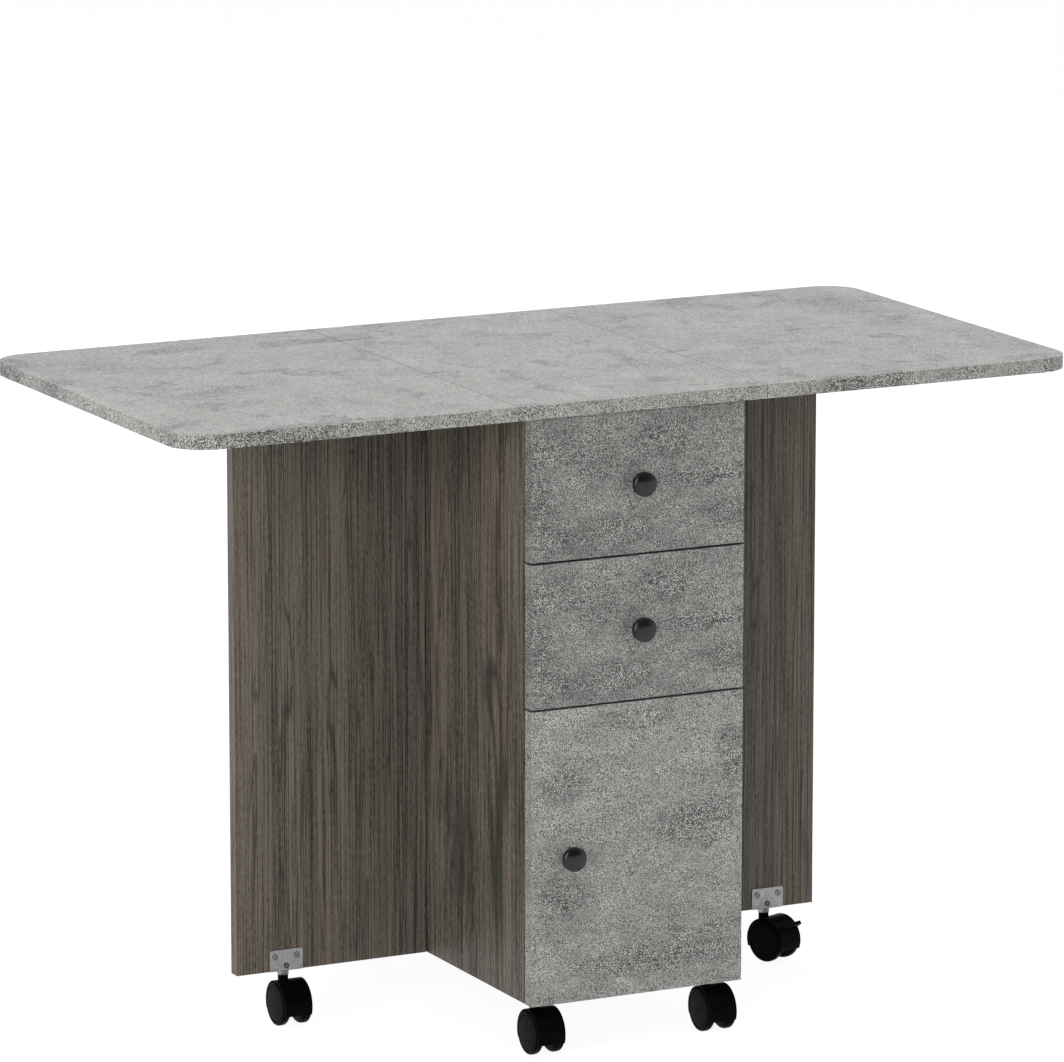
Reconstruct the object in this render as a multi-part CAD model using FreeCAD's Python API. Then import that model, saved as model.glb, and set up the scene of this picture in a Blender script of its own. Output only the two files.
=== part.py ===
import FreeCAD, Part
import math
import os
from FreeCAD import Matrix, Vector

# Folding dining table on casters: a slim cabinet with two drawers and a door under a fixed
# centre top, two leaves hinged to that top, and two gates that swing out of the cabinet's
# sides to carry the leaves. Millimetres. X runs along the front to the right, Y to the back
# and Z up. The origin is on the floor under the middle of the top.

# Table top
TABLE_LENGTH = 1117.0
TABLE_DEPTH = 554.0
TABLE_HEIGHT = 750.0
BOARD = 16.0
BOARD_EDGE_ROUND = 0.5
TOP_HINGE_CLEARANCE = 0.5
SEAM_GAP = 0.8
TOP_CORNER_RADIUS = 45.0
TOP_EDGE_ROUND = 0.8

# Cabinet
CABINET_WIDTH = 267.0
FRONT_RECESS = 13.0
REAR_RECESS = 13.0
FRONT_GAP = 3.0
FACADE_GAP = 2.2
UPPER_FRONT_DROP = 2.5
UPPER_FRONT_HEIGHT = 162.0
LOWER_FRONT_HEIGHT = 164.7
FRONT_EDGE_ROUND = 0.6
TOP_RAIL_WIDTH = 60.0
DOWEL_RADIUS = 4.0
DOWEL_LENGTH = 30.0
DOWEL_IN_SIDE = 10.0
DOWEL_INSET = 55.0

# Butt hinges of the leaves and the gates
HINGE_LENGTH = 60.0
HINGE_LEAF_WIDTH = 21.5
HINGE_PLATE = 1.4
HINGE_FOLD_GAP = 0.4
HINGE_PIN_RADIUS = 1.3
HINGE_RUNNING_GAP = 0.3
HINGE_PIN_PLAY = 0.05
HINGE_SCREW_SPACING = 36.0
TOP_HINGE_FRONT_INSET = 92.0
TOP_HINGE_REAR_INSET = 131.0
GATE_HINGE_INSET = 80.0

# Gates
GATE_FRONT_Y = 5.5
GATE_END_GAP = 1.0
GATE_FOLD_SETBACK = 2.0
GATE_TOP_CLEARANCE = 1.2
GATE_PAD_LENGTH = 40.0
GATE_PAD_WIDTH = 13.0
GATE_PAD_INSET = 12.0
GATE_PAD_ROUND = 1.5
PAD_GAP = 0.3
GATE_CASTER_INSET = 61.2

# Caster plate on each gate
PLATE_WIDTH = 41.3
PLATE_HEIGHT = 25.0
PLATE_THICKNESS = 1.5
PLATE_CORNER_RADIUS = 1.5
PLATE_SCREW_SPACING = 27.6
PLATE_SCREW_HEIGHT = 17.6
PLATE_RIVET_HEIGHT = 5.9
RIVET_HEAD_RADIUS = 3.3
RIVET_HEAD_HEIGHT = 0.7
RIVET_SHANK_RADIUS = 1.8

# Screws
SCREW_SHANK_RADIUS = 1.4
SCREW_DEPTH = 10.0
SCREW_HEAD_HEIGHT = 1.0
SCREW_CROSS_WIDTH = 1.1
SCREW_CROSS_MARGIN = 1.0
SCREW_CROSS_DEPTH = 0.8
HINGE_SCREW_HEAD_RADIUS = 2.6
PLATE_SCREW_HEAD_RADIUS = 3.4
PLATE_SCREW_RECESS = 0.6
PLATE_SCREW_RECESS_GAP = 0.5

# Drawers
DRAWER_WALL = 12.0
DRAWER_REAR_GAP = 61.0
DRAWER_BOX_DROP = 33.0
DRAWER_BOX_RISE = 19.0
DRAWER_BOTTOM = 3.0
DRAWER_BOTTOM_RISE = 8.0
DRAWER_GROOVE = 6.0

# Roller runners
RUNNER_SPACE = 12.5
RUNNER_STEEL = 1.2
RUNNER_HEIGHT = 24.0
RUNNER_SETBACK = 3.0
RUNNER_LIP = 5.0
RUNNER_PLAY = 0.8
RUNNER_FOOT = 10.0
RUNNER_RAIL_WIDTH = 7.0
ROLLER_RADIUS = 5.5
ROLLER_WIDTH = 6.5
ROLLER_INSET = 14.0
ROLLER_PIN_RADIUS = 2.0
ROLLER_GAP = 0.3

# Knobs
KNOB_HEIGHT = 21.0
KNOB_CAP_RADIUS = 14.0
KNOB_CAP_THICKNESS = 9.5
KNOB_FACE_ROUND = 2.0
KNOB_EDGE_ROUND = 1.0
KNOB_FACE_CROWN = 2.0
KNOB_NECK_RADIUS = 6.0
KNOB_FOOT_RADIUS = 7.5
KNOB_FOOT_THICKNESS = 2.0
KNOB_SCREW_RADIUS = 2.0
KNOB_SCREW_REACH = 12.0
KNOB_SCREW_HEAD_RADIUS = 4.5
KNOB_SCREW_HEAD = 2.5
DOOR_KNOB_INSET = 46.5

# Concealed cup hinges of the door
CUP_RADIUS = 17.5
CUP_COVER = 3.0
CUP_WALL = 0.8
CUP_EDGE = 3.4
CUP_FLANGE_LENGTH = 52.0
CUP_FLANGE_WIDTH = 16.0
CUP_FLANGE = 0.8
CUP_SCREW_SPACING = 44.0
CUP_PIN_EDGE = 7.4
CUP_PIN_RADIUS = 1.2
CUP_PIN_PLAY = 0.05
CUP_KNUCKLE_RADIUS = 2.2
CUP_GAP = 0.3
CUP_LUG_WIDTH = 3.0
ARM_HEIGHT = 9.0
ARM_STEEL = 2.8
ARM_STANDOFF = 5.5
ARM_LENGTH = 60.0
ARM_PLATE_THICKNESS = 2.0
ARM_PLATE_LENGTH = 40.0
ARM_PLATE_HEIGHT = 40.0
ARM_SCREW_SPACING = 30.0
DOOR_HINGE_INSET = 70.0

# Casters
WHEEL_RADIUS = 25.0
CASTER_WIDTH = 37.9
CASTER_TRAIL = 16.5
WHEEL_SIDE_GAP = 0.5
WHEEL_INNER_ROUND = 5.0
WHEEL_OUTER_ROUND = 2.5
WHEEL_TREAD = 4.7
WHEEL_CAP_WALL = 2.0
WHEEL_CAP_CROWN = 0.6
WHEEL_GROOVE_WIDTH = 1.2
WHEEL_GROOVE_DEPTH = 1.0
AXLE_RADIUS = 3.0
AXLE_PLAY = 0.05
AXLE_END_GAP = 0.4
HOOD_CLEARANCE = 0.8
HOOD_WALL = 1.6
HOOD_SIDE_RECESS = 2.0
HOOD_SKIRT = 10.0
HOOD_WEB = 14.0
HOOD_HUB_RADIUS = 13.0
NECK_RADIUS = 6.0
NECK_LENGTH = 2.2
NECK_GAP = 0.4
STEM_RADIUS = 4.0
STEM_SEAT = 4.0
STEM_PLAY = 0.05
STEM_TOP_GAP = 0.5
SOCKET_RADIUS = 5.5
SOCKET_COVER = 1.0
COLLAR_RADIUS = 6.7
COLLAR = 6.0
COLLAR_GAP = 1.6
CASTER_SIDE_INSET = 24.3
CASTER_END_INSET = 40.3
BRAKED_CASTER = "right_gate"
BRAKED_CASTER_TURN = 19.5
REAR_CASTER_TURN = 180.0

# Brake lever of the right gate's caster
LEVER_ANGLE = 38.0
LEVER_PIVOT_DEPTH = 7.4
LEVER_ARM_WIDTH = 8.0
LEVER_THICKNESS = 4.5
LEVER_TAB_WIDTH = 31.0
LEVER_TAB_LENGTH = 9.5
LEVER_TAIL = 3.0
LEVER_ROUND = 2.0
LEVER_PIN_RADIUS = 1.1
LEVER_PIN_PLAY = 0.05
LEVER_GAP = 0.3
LEVER_HOOD_GAP = 0.9
LEVER_LIFT = 12.0

# Caster sizes and levels that follow from the above, from the floor up
HOOD_INNER = WHEEL_RADIUS + HOOD_CLEARANCE
HOOD_OUTER = HOOD_INNER + HOOD_WALL
WHEEL_GAP = HOOD_WEB + 2 * WHEEL_SIDE_GAP
WHEEL_CAP_RADIUS = WHEEL_RADIUS - WHEEL_TREAD
CASTER_HALF = CASTER_WIDTH / 2
AXLE_Y = -CASTER_TRAIL
NECK_TOP = WHEEL_RADIUS + HOOD_OUTER + NECK_LENGTH
SOCKET_DEPTH = BOARD - SOCKET_COVER
LEVER_PIVOT_RADIUS = HOOD_OUTER - LEVER_PIVOT_DEPTH
CABINET_BASE = NECK_TOP + NECK_GAP + COLLAR

# Levels and faces that several pieces share
UNDERSIDE = TABLE_HEIGHT - BOARD
HALF_LENGTH = TABLE_LENGTH / 2
HALF_DEPTH = TABLE_DEPTH / 2
HALF_WIDTH = CABINET_WIDTH / 2
HALF_CENTRE = HALF_WIDTH + TOP_HINGE_CLEARANCE + HINGE_LEAF_WIDTH
INNER_HALF = HALF_WIDTH - BOARD
FACADE_Y = FRONT_RECESS - HALF_DEPTH
FRONT_INNER_Y = FACADE_Y + BOARD
CARCASS_FRONT = FRONT_INNER_Y + FRONT_GAP
CARCASS_REAR = HALF_DEPTH - REAR_RECESS
BACK_INNER = CARCASS_REAR - BOARD
UPPER_FRONT_TOP = UNDERSIDE - UPPER_FRONT_DROP
UPPER_FRONT = (UPPER_FRONT_TOP - UPPER_FRONT_HEIGHT, UPPER_FRONT_TOP)
LOWER_FRONT_TOP = UPPER_FRONT[0] - FACADE_GAP
LOWER_FRONT = (LOWER_FRONT_TOP - LOWER_FRONT_HEIGHT, LOWER_FRONT_TOP)
DOOR_TOP = LOWER_FRONT[0] - FACADE_GAP
DIVIDER_MIDDLE = DOOR_TOP + FACADE_GAP / 2
DIVIDER = (DIVIDER_MIDDLE - BOARD / 2, DIVIDER_MIDDLE + BOARD / 2)
HINGE_OFFSET = HINGE_PLATE + SCREW_HEAD_HEIGHT + HINGE_FOLD_GAP
HINGE_KNUCKLE_RADIUS = HINGE_OFFSET - HINGE_RUNNING_GAP
LEAF_PIN_Z = UNDERSIDE - HINGE_OFFSET
GATE_REAR_Y = GATE_FRONT_Y + BOARD
GATE_MIDDLE_Y = GATE_FRONT_Y + BOARD / 2
GATE_PIN_X = HALF_WIDTH + HINGE_OFFSET
GATE_PIN_Y = GATE_REAR_Y + HINGE_OFFSET
GATE_START = HALF_WIDTH + GATE_END_GAP
GATE_END = GATE_PIN_X + CARCASS_REAR - GATE_FOLD_SETBACK - GATE_PIN_Y
GATE_TOP = LEAF_PIN_Z - HINGE_KNUCKLE_RADIUS - GATE_TOP_CLEARANCE
GATE_CASTER_X = GATE_END - GATE_CASTER_INSET
CABINET_CASTER_X = HALF_WIDTH - CASTER_SIDE_INSET
FRONT_CASTER_Y = FACADE_Y + CASTER_END_INSET
REAR_CASTER_Y = CARCASS_REAR - CASTER_END_INSET
DRAWER_OUTER = INNER_HALF - RUNNER_SPACE
DRAWER_REAR = BACK_INNER - DRAWER_REAR_GAP

# Places closer together than this are the same place
SAME = 1e-3

RIGHT = Vector(1, 0, 0)
BACK = Vector(0, 1, 0)
UP = Vector(0, 0, 1)
ORIGIN = Vector(0, 0, 0)


# Basic forms
def box(x, y, z):
    """A block between pairs of limits along X, Y and Z."""
    low = Vector(min(x), min(y), min(z))
    return Part.makeBox(max(x) - low.x, max(y) - low.y, max(z) - low.z, low)


def rod(start, direction, radius, length):
    return Part.makeCylinder(radius, length, start, direction)


def turned(points, rounds=()):
    """A solid of revolution about Z from (radius, height) points, with some circles rounded.

    Each round is (radius, height, fillet radius) of a circular edge.
    """
    wire = Part.makePolygon([Vector(r, 0, h) for r, h in points + points[:1]])
    solid = Part.Face(wire).revolve(ORIGIN, UP, 360)
    for radius, height, fillet in rounds:
        solid = solid.makeFillet(fillet, circles(solid, radius, height))
    return solid


def circles(solid, radius, height):
    """The full circles of a solid about Z that have this radius and height."""
    found = []
    for edge in solid.Edges:
        if not isinstance(edge.Curve, Part.Circle):
            continue
        same_radius = abs(edge.Curve.Radius - radius) < SAME
        same_height = abs(edge.Curve.Center.z - height) < SAME
        if same_radius and same_height:
            found.append(edge)
    return found


def lens(base_radius, crown, height):
    """A shallow dome about Z: a flat disc at this height that rises by crown in the middle."""
    sphere_radius = (base_radius ** 2 + crown ** 2) / (2 * crown)
    ball = Part.makeSphere(sphere_radius, Vector(0, 0, height + crown - sphere_radius))
    disc = rod(Vector(0, 0, height), UP, base_radius, crown)
    return ball.common(disc)


def placed(shape, origin, x_way, y_way):
    """A copy of a shape with its own X and Y turned to the given directions, moved to origin."""
    z_way = x_way.cross(y_way)
    turn = Matrix(
        x_way.x, y_way.x, z_way.x, origin.x,
        x_way.y, y_way.y, z_way.y, origin.y,
        x_way.z, y_way.z, z_way.z, origin.z,
        0, 0, 0, 1,
    )
    return shape.transformed(turn, True)


def mirrored(shapes):
    """The same solids on the other side of the table."""
    return [shape.mirror(ORIGIN, RIGHT) for shape in shapes]


def on_side(side, shapes):
    return list(shapes) if side > 0 else mirrored(shapes)


def cut(shape, tools):
    return shape.cut(list(tools)) if tools else shape


def edges_on_plane(shape, axis, value):
    """Edges that lie wholly on the plane where this coordinate has this value."""
    found = []
    for edge in shape.Edges:
        limits = edge.BoundBox
        low = (limits.XMin, limits.YMin, limits.ZMin)[axis]
        high = (limits.XMax, limits.YMax, limits.ZMax)[axis]
        if abs(low - value) < SAME and abs(high - value) < SAME:
            found.append(edge)
    return found


# Screws: the head's seat is at the origin, the head points to +Z and the shank to -Z
def screw(head_radius, depth):
    head = rod(ORIGIN, UP, head_radius, SCREW_HEAD_HEIGHT)
    head = head.makeFillet(SCREW_HEAD_HEIGHT / 2, circles(head, head_radius, SCREW_HEAD_HEIGHT))
    top = (SCREW_HEAD_HEIGHT - SCREW_CROSS_DEPTH, SCREW_HEAD_HEIGHT + SCREW_CROSS_DEPTH)
    half_cross = head_radius - SCREW_CROSS_MARGIN
    long_side = (-half_cross, half_cross)
    short_side = (-SCREW_CROSS_WIDTH / 2, SCREW_CROSS_WIDTH / 2)
    cross = [box(long_side, short_side, top), box(short_side, long_side, top)]
    shank = rod(Vector(0, 0, -depth), UP, SCREW_SHANK_RADIUS, depth)
    return cut(head, cross).fuse(shank).removeSplitter()


def screw_bore(depth):
    return rod(Vector(0, 0, -depth), UP, SCREW_SHANK_RADIUS, depth)


# Butt hinges: the pin runs along Z at the origin, the plate lies towards +X and the board
# it is screwed to is on its +Y side
def hinge_leaf(spans, bore_radius):
    """One leaf with its knuckles over these spans of the pin, its screws and their bores."""
    half = HINGE_LENGTH / 2
    plate_start = HINGE_OFFSET
    plate_y = (HINGE_OFFSET - HINGE_PLATE, HINGE_OFFSET)
    leaf = box((plate_start, HINGE_LEAF_WIDTH), plate_y, (-half, half))
    for low, high in spans:
        knuckle = rod(Vector(0, 0, low), UP, HINGE_KNUCKLE_RADIUS, high - low)
        bridge = box((0, plate_start), (plate_y[0], HINGE_KNUCKLE_RADIUS), (low, high))
        leaf = leaf.fuse([knuckle, bridge])
    leaf = leaf.cut(rod(Vector(0, 0, -half), UP, bore_radius, HINGE_LENGTH)).removeSplitter()
    screws = []
    bores = []
    depth = HINGE_PLATE + SCREW_DEPTH
    screw_x = (plate_start + HINGE_LEAF_WIDTH) / 2
    for z in (-HINGE_SCREW_SPACING / 2, HINGE_SCREW_SPACING / 2):
        seat = Vector(screw_x, plate_y[0], z)
        screws.append(placed(screw(HINGE_SCREW_HEAD_RADIUS, depth), seat, RIGHT, UP))
        bores.append(placed(screw_bore(depth), seat, RIGHT, UP))
    return cut(leaf, bores), screws, bores


def fixed_hinge_leaf():
    half = HINGE_LENGTH / 2
    middle_half = HINGE_LENGTH / 6
    return hinge_leaf([(-half, -middle_half), (middle_half, half)], HINGE_PIN_RADIUS)


def moving_hinge_leaf():
    middle_half = HINGE_LENGTH / 6 - HINGE_RUNNING_GAP
    return hinge_leaf([(-middle_half, middle_half)], HINGE_PIN_RADIUS + HINGE_PIN_PLAY)


def hinge_pin():
    return rod(Vector(0, 0, -HINGE_LENGTH / 2), UP, HINGE_PIN_RADIUS, HINGE_LENGTH)


def hinge_set(places, fixed_ways, moving_ways):
    """Hinges at several places: leaves, screws and bores of both sides, and the pins."""
    fixed = {"solids": [], "bores": []}
    moving = {"solids": [], "bores": []}
    pins = []
    for place in places:
        for group, ways, made in (
            (fixed, fixed_ways, fixed_hinge_leaf()),
            (moving, moving_ways, moving_hinge_leaf()),
        ):
            leaf, screws, bores = made
            group["solids"] += [placed(piece, place, *ways) for piece in [leaf] + screws]
            group["bores"] += [placed(bore, place, *ways) for bore in bores]
        pins.append(placed(hinge_pin(), place, *fixed_ways))
    return fixed, moving, pins


def top_hinges():
    """Hinges under the right seam of the top, with their pins along Y."""
    front = TOP_HINGE_FRONT_INSET - HALF_DEPTH
    rear = HALF_DEPTH - TOP_HINGE_REAR_INSET
    places = [Vector(HALF_CENTRE, y, LEAF_PIN_Z) for y in (front, (front + rear) / 2, rear)]
    return hinge_set(places, (-RIGHT, UP), (RIGHT, UP))


def gate_hinges():
    """Hinges in the corner behind the right gate, with upright pins."""
    low = CABINET_BASE + GATE_HINGE_INSET
    high = GATE_TOP - GATE_HINGE_INSET
    places = [Vector(GATE_PIN_X, GATE_PIN_Y, z) for z in (low, (low + high) / 2, high)]
    return hinge_set(places, (BACK, -RIGHT), (RIGHT, -BACK))


# Table top
def centre_top(bores):
    limit = HALF_CENTRE - SEAM_GAP / 2
    board = box((-limit, limit), (-HALF_DEPTH, HALF_DEPTH), (UNDERSIDE, TABLE_HEIGHT))
    long_edges = edges_on_plane(board, 1, -HALF_DEPTH) + edges_on_plane(board, 1, HALF_DEPTH)
    level = [edge for edge in long_edges if edge.BoundBox.ZLength < BOARD / 2]
    return cut(board.makeFillet(TOP_EDGE_ROUND, level), bores)


def right_leaf(bores):
    inner = HALF_CENTRE + SEAM_GAP / 2
    board = box((inner, HALF_LENGTH), (-HALF_DEPTH, HALF_DEPTH), (UNDERSIDE, TABLE_HEIGHT))
    upright = [edge for edge in edges_on_plane(board, 0, HALF_LENGTH) if edge.BoundBox.ZLength > BOARD / 2]
    board = board.makeFillet(TOP_CORNER_RADIUS, upright)
    rim = []
    for level in (UNDERSIDE, TABLE_HEIGHT):
        for edge in edges_on_plane(board, 2, level):
            if edge.BoundBox.XMax > inner + SEAM_GAP:
                rim.append(edge)
    return cut(board.makeFillet(TOP_EDGE_ROUND, rim), bores)


# Cabinet carcass
def dowels():
    """Dowels of the right-hand end of every board between the side panels."""
    depth_places = (CARCASS_FRONT + DOWEL_INSET, BACK_INNER - DOWEL_INSET)
    height_places = (CABINET_BASE + DOWEL_INSET, UNDERSIDE - DOWEL_INSET)
    places = [(y, CABINET_BASE + BOARD / 2) for y in depth_places]
    places += [(y, DIVIDER_MIDDLE) for y in depth_places]
    places += [(sum(limits) / 2, UNDERSIDE - BOARD / 2) for limits in top_rail_places()]
    places += [(CARCASS_REAR - BOARD / 2, z) for z in height_places]
    start = INNER_HALF + DOWEL_IN_SIDE - DOWEL_LENGTH
    return [rod(Vector(start, y, z), RIGHT, DOWEL_RADIUS, DOWEL_LENGTH) for y, z in places]


def top_rail_places():
    front = (CARCASS_FRONT, CARCASS_FRONT + TOP_RAIL_WIDTH)
    rear = (BACK_INNER - TOP_RAIL_WIDTH, BACK_INNER)
    return front, rear


def right_side_panel(bores):
    panel = box((INNER_HALF, HALF_WIDTH), (CARCASS_FRONT, CARCASS_REAR), (CABINET_BASE, UNDERSIDE))
    outer_edges = edges_on_plane(panel, 0, HALF_WIDTH)
    return cut(panel.makeFillet(BOARD_EDGE_ROUND, outer_edges), bores)


def inner_boards(bores):
    """The boards between the side panels, with the holes for their dowels."""
    across = (-INNER_HALF, INNER_HALF)
    deep = (CARCASS_FRONT, BACK_INNER)
    floor = (CABINET_BASE, CABINET_BASE + BOARD)
    rail_level = (UNDERSIDE - BOARD, UNDERSIDE)
    boards = {
        "bottom_panel": [box(across, deep, floor)],
        "divider_panel": [box(across, deep, DIVIDER)],
        "back_panel": [box(across, (BACK_INNER, CARCASS_REAR), (CABINET_BASE, UNDERSIDE))],
        "top_rails": [box(across, place, rail_level) for place in top_rail_places()],
    }
    return {name: [cut(board, bores) for board in made] for name, made in boards.items()}


# Gates
def right_gate(bores):
    gate = box((GATE_START, GATE_END), (GATE_FRONT_Y, GATE_REAR_Y), (CABINET_BASE, GATE_TOP))
    return cut(gate.makeFillet(BOARD_EDGE_ROUND, gate.Edges), bores)


def right_gate_pad():
    x = (GATE_END - GATE_PAD_INSET - GATE_PAD_LENGTH, GATE_END - GATE_PAD_INSET)
    y = (GATE_MIDDLE_Y - GATE_PAD_WIDTH / 2, GATE_MIDDLE_Y + GATE_PAD_WIDTH / 2)
    top = UNDERSIDE - PAD_GAP
    pad = box(x, y, (GATE_TOP, top))
    return pad.makeFillet(GATE_PAD_ROUND, edges_on_plane(pad, 2, top))


def caster_socket(x, y):
    """A steel sleeve for a caster's stem, with a collar below the board, and the bore it needs."""
    foot = Vector(x, y, CABINET_BASE)
    sleeve = rod(foot, UP, SOCKET_RADIUS, SOCKET_DEPTH)
    collar = rod(foot - UP * COLLAR, UP, COLLAR_RADIUS, COLLAR - COLLAR_GAP)
    throat = rod(foot - UP * COLLAR_GAP, UP, SOCKET_RADIUS, COLLAR_GAP)
    hole = rod(foot - UP * COLLAR, UP, STEM_RADIUS + STEM_PLAY, COLLAR + SOCKET_DEPTH)
    return sleeve.fuse([throat, collar]).cut(hole).removeSplitter(), sleeve


def right_caster_bracket():
    """The gate's caster plate, socket and rivet, its screws, and the bores in the gate."""
    socket, socket_bore = caster_socket(GATE_CASTER_X, GATE_MIDDLE_Y)
    half = PLATE_WIDTH / 2
    front = GATE_FRONT_Y - PLATE_THICKNESS
    plate = box(
        (GATE_CASTER_X - half, GATE_CASTER_X + half),
        (front, GATE_FRONT_Y),
        (CABINET_BASE, CABINET_BASE + PLATE_HEIGHT),
    )
    corners = [edge for edge in plate.Edges if abs(edge.BoundBox.YLength - PLATE_THICKNESS) < SAME]
    plate = plate.makeFillet(PLATE_CORNER_RADIUS, corners)
    screws = []
    bores = []
    recesses = []
    recess_radius = PLATE_SCREW_HEAD_RADIUS + PLATE_SCREW_RECESS_GAP
    depth = PLATE_THICKNESS - PLATE_SCREW_RECESS + SCREW_DEPTH
    for x in (-PLATE_SCREW_SPACING / 2, PLATE_SCREW_SPACING / 2):
        mouth = Vector(GATE_CASTER_X + x, front, CABINET_BASE + PLATE_SCREW_HEIGHT)
        seat = mouth + BACK * PLATE_SCREW_RECESS
        recesses.append(rod(mouth, BACK, recess_radius, PLATE_SCREW_RECESS))
        screws.append(placed(screw(PLATE_SCREW_HEAD_RADIUS, depth), seat, RIGHT, UP))
        bores.append(placed(screw_bore(depth), seat, RIGHT, UP))
    rivet_seat = Vector(GATE_CASTER_X, front, CABINET_BASE + PLATE_RIVET_HEIGHT)
    reach = GATE_MIDDLE_Y - SOCKET_RADIUS - front
    head = rod(rivet_seat - BACK * RIVET_HEAD_HEIGHT, BACK, RIVET_HEAD_RADIUS, RIVET_HEAD_HEIGHT)
    shank = rod(rivet_seat, BACK, RIVET_SHANK_RADIUS, reach)
    rivet = head.fuse(shank.cut(socket_bore)).removeSplitter()
    plate = cut(plate, bores + recesses + [shank])
    return [plate, socket, rivet], screws, bores + [shank, socket_bore]


# Drawers
def knob(x, z):
    """A knob on the facade at this place, with its screw from behind, and the screw's bore."""
    cap_start = KNOB_HEIGHT - KNOB_CAP_THICKNESS
    face = KNOB_HEIGHT - KNOB_FACE_CROWN
    profile = [
        (0, 0),
        (KNOB_FOOT_RADIUS, 0),
        (KNOB_FOOT_RADIUS, KNOB_FOOT_THICKNESS),
        (KNOB_NECK_RADIUS, KNOB_FOOT_THICKNESS + KNOB_FOOT_RADIUS - KNOB_NECK_RADIUS),
        (KNOB_NECK_RADIUS, cap_start - KNOB_EDGE_ROUND),
        (KNOB_CAP_RADIUS, cap_start),
        (KNOB_CAP_RADIUS, face),
        (0, face),
    ]
    rounds = [
        (KNOB_CAP_RADIUS, cap_start, KNOB_EDGE_ROUND),
        (KNOB_CAP_RADIUS, face, KNOB_FACE_ROUND),
    ]
    crown = lens(KNOB_CAP_RADIUS - KNOB_FACE_ROUND, KNOB_FACE_CROWN, face)
    body = turned(profile, rounds).fuse(crown)
    hole = rod(ORIGIN, UP, KNOB_SCREW_RADIUS, KNOB_SCREW_REACH)
    shank = rod(Vector(0, 0, -BOARD), UP, KNOB_SCREW_RADIUS, BOARD + KNOB_SCREW_REACH)
    head_start = Vector(0, 0, -BOARD - KNOB_SCREW_HEAD)
    head = rod(head_start, UP, KNOB_SCREW_HEAD_RADIUS, KNOB_SCREW_HEAD)
    pieces = [body.cut(hole).removeSplitter(), head.fuse(shank).removeSplitter()]
    seat = Vector(x, FACADE_Y, z)
    return [placed(piece, seat, RIGHT, UP) for piece in pieces], placed(shank, seat, RIGHT, UP)


def front_board(x, z, bores):
    """A facade board with slightly rounded edges on its show face."""
    board = box(x, (FACADE_Y, FRONT_INNER_Y), z)
    return cut(board.makeFillet(FRONT_EDGE_ROUND, edges_on_plane(board, 1, FACADE_Y)), bores)


def runner_level(front):
    """Height of the fixed roller's axle for the drawer behind this front."""
    return front[0] + DRAWER_BOX_RISE + ROLLER_RADIUS + RUNNER_STEEL


def roller(x_start, y, z):
    wheel = rod(Vector(x_start, y, z), RIGHT, ROLLER_RADIUS, ROLLER_WIDTH)
    return wheel.cut(rod(Vector(x_start, y, z), RIGHT, ROLLER_PIN_RADIUS, ROLLER_WIDTH))


def right_cabinet_runner(front):
    """The fixed rail on the right side panel and its front roller."""
    level = runner_level(front)
    y = (CARCASS_FRONT + RUNNER_SETBACK, DRAWER_REAR)
    web = (INNER_HALF - RUNNER_STEEL, INNER_HALF)
    low = level - RUNNER_HEIGHT / 2
    high = level + RUNNER_HEIGHT / 2
    track = (DRAWER_OUTER + RUNNER_STEEL + RUNNER_PLAY, web[0])
    rail = box(web, y, (low, high))
    rail = rail.fuse(box(track, y, (low, low + RUNNER_STEEL)))
    rail = rail.fuse(box((web[0] - RUNNER_LIP, web[0]), y, (high - RUNNER_STEEL, high)))
    roller_y = y[0] + ROLLER_INSET
    roller_x = web[0] - RUNNER_PLAY - ROLLER_WIDTH
    pin = rod(Vector(roller_x, roller_y, level), RIGHT, ROLLER_PIN_RADIUS, web[0] - roller_x)
    return [rail.fuse(pin).removeSplitter(), roller(roller_x, roller_y, level)]


def right_drawer_runner(front):
    """The drawer's own rail, which rides on the fixed roller, and its rear roller."""
    level = runner_level(front)
    foot = front[0] + DRAWER_BOX_RISE
    y = (FRONT_INNER_Y, DRAWER_REAR)
    web = (DRAWER_OUTER, DRAWER_OUTER + RUNNER_STEEL)
    rail_low = level + ROLLER_RADIUS + ROLLER_GAP
    rail_high = rail_low + RUNNER_STEEL
    track_top = level - RUNNER_HEIGHT / 2 + RUNNER_STEEL
    roller_z = track_top + ROLLER_GAP + ROLLER_RADIUS
    web_low = min(foot, roller_z) - ROLLER_PIN_RADIUS - RUNNER_STEEL
    profile = box(web, y, (web_low, rail_high))
    profile = profile.fuse(box((DRAWER_OUTER - RUNNER_FOOT, web[1]), y, (foot - RUNNER_STEEL, foot)))
    profile = profile.fuse(box((web[1], web[1] + RUNNER_RAIL_WIDTH), y, (rail_low, rail_high)))
    roller_y = DRAWER_REAR - ROLLER_INSET
    roller_x = web[1] + RUNNER_PLAY
    reach = roller_x + ROLLER_WIDTH - web[1]
    pin = rod(Vector(web[1], roller_y, roller_z), RIGHT, ROLLER_PIN_RADIUS, reach)
    return [profile.fuse(pin).removeSplitter(), roller(roller_x, roller_y, roller_z)]


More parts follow.
